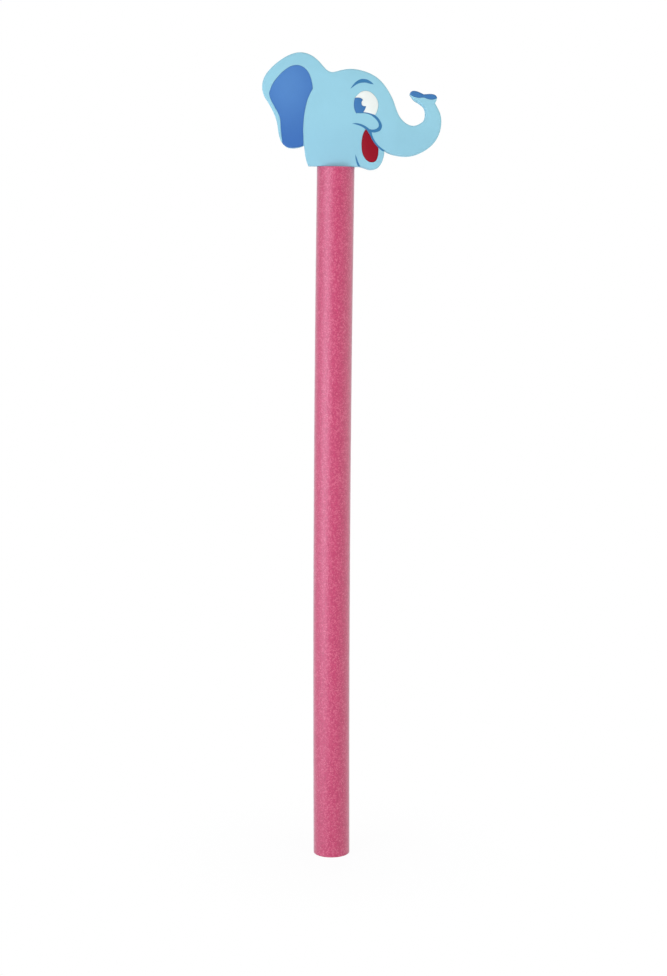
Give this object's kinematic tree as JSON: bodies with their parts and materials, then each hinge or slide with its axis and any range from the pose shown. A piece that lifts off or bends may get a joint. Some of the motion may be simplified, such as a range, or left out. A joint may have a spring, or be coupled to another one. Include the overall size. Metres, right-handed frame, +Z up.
{
  "type": "pool noodle",
  "caption": "Foam pool noodle, gently bowed and bored through, with a flat laminated foam elephant head standing on its top end and held by a foam peg.",
  "frame": {"origin": "on the floor, below the middle of the whole object's breadth, under the bottom end's plane", "axes": "+Z up the noodle, +X the way the trunk points, -Y the way the front of the head faces"},
  "size_m": [0.3046, 0.065, 1.4118],
  "materials": {
    "pink_foam": "speckled satin foam skin",
    "peg_foam": "plain cut foam",
    "sky_foam": "smooth satin foam sheet",
    "blue_foam": "smooth satin foam sheet",
    "white_foam": "smooth satin foam sheet",
    "red_foam": "smooth satin foam sheet"
  },
  "bodies": {
    "root": {"noodle_tube": "pink_foam", "neck_peg": "peg_foam", "core_sheet": "sky_foam", "front_sheet": "sky_foam", "back_sheet": "sky_foam", "front_ear_panel": "blue_foam", "back_ear_panel": "blue_foam", "front_trunk_tip": "blue_foam", "back_trunk_tip": "blue_foam", "front_iris": "blue_foam", "back_iris": "blue_foam", "front_eye_white": "white_foam", "back_eye_white": "white_foam", "front_mouth": "red_foam", "back_mouth": "red_foam"}
  },
  "joints": []
}
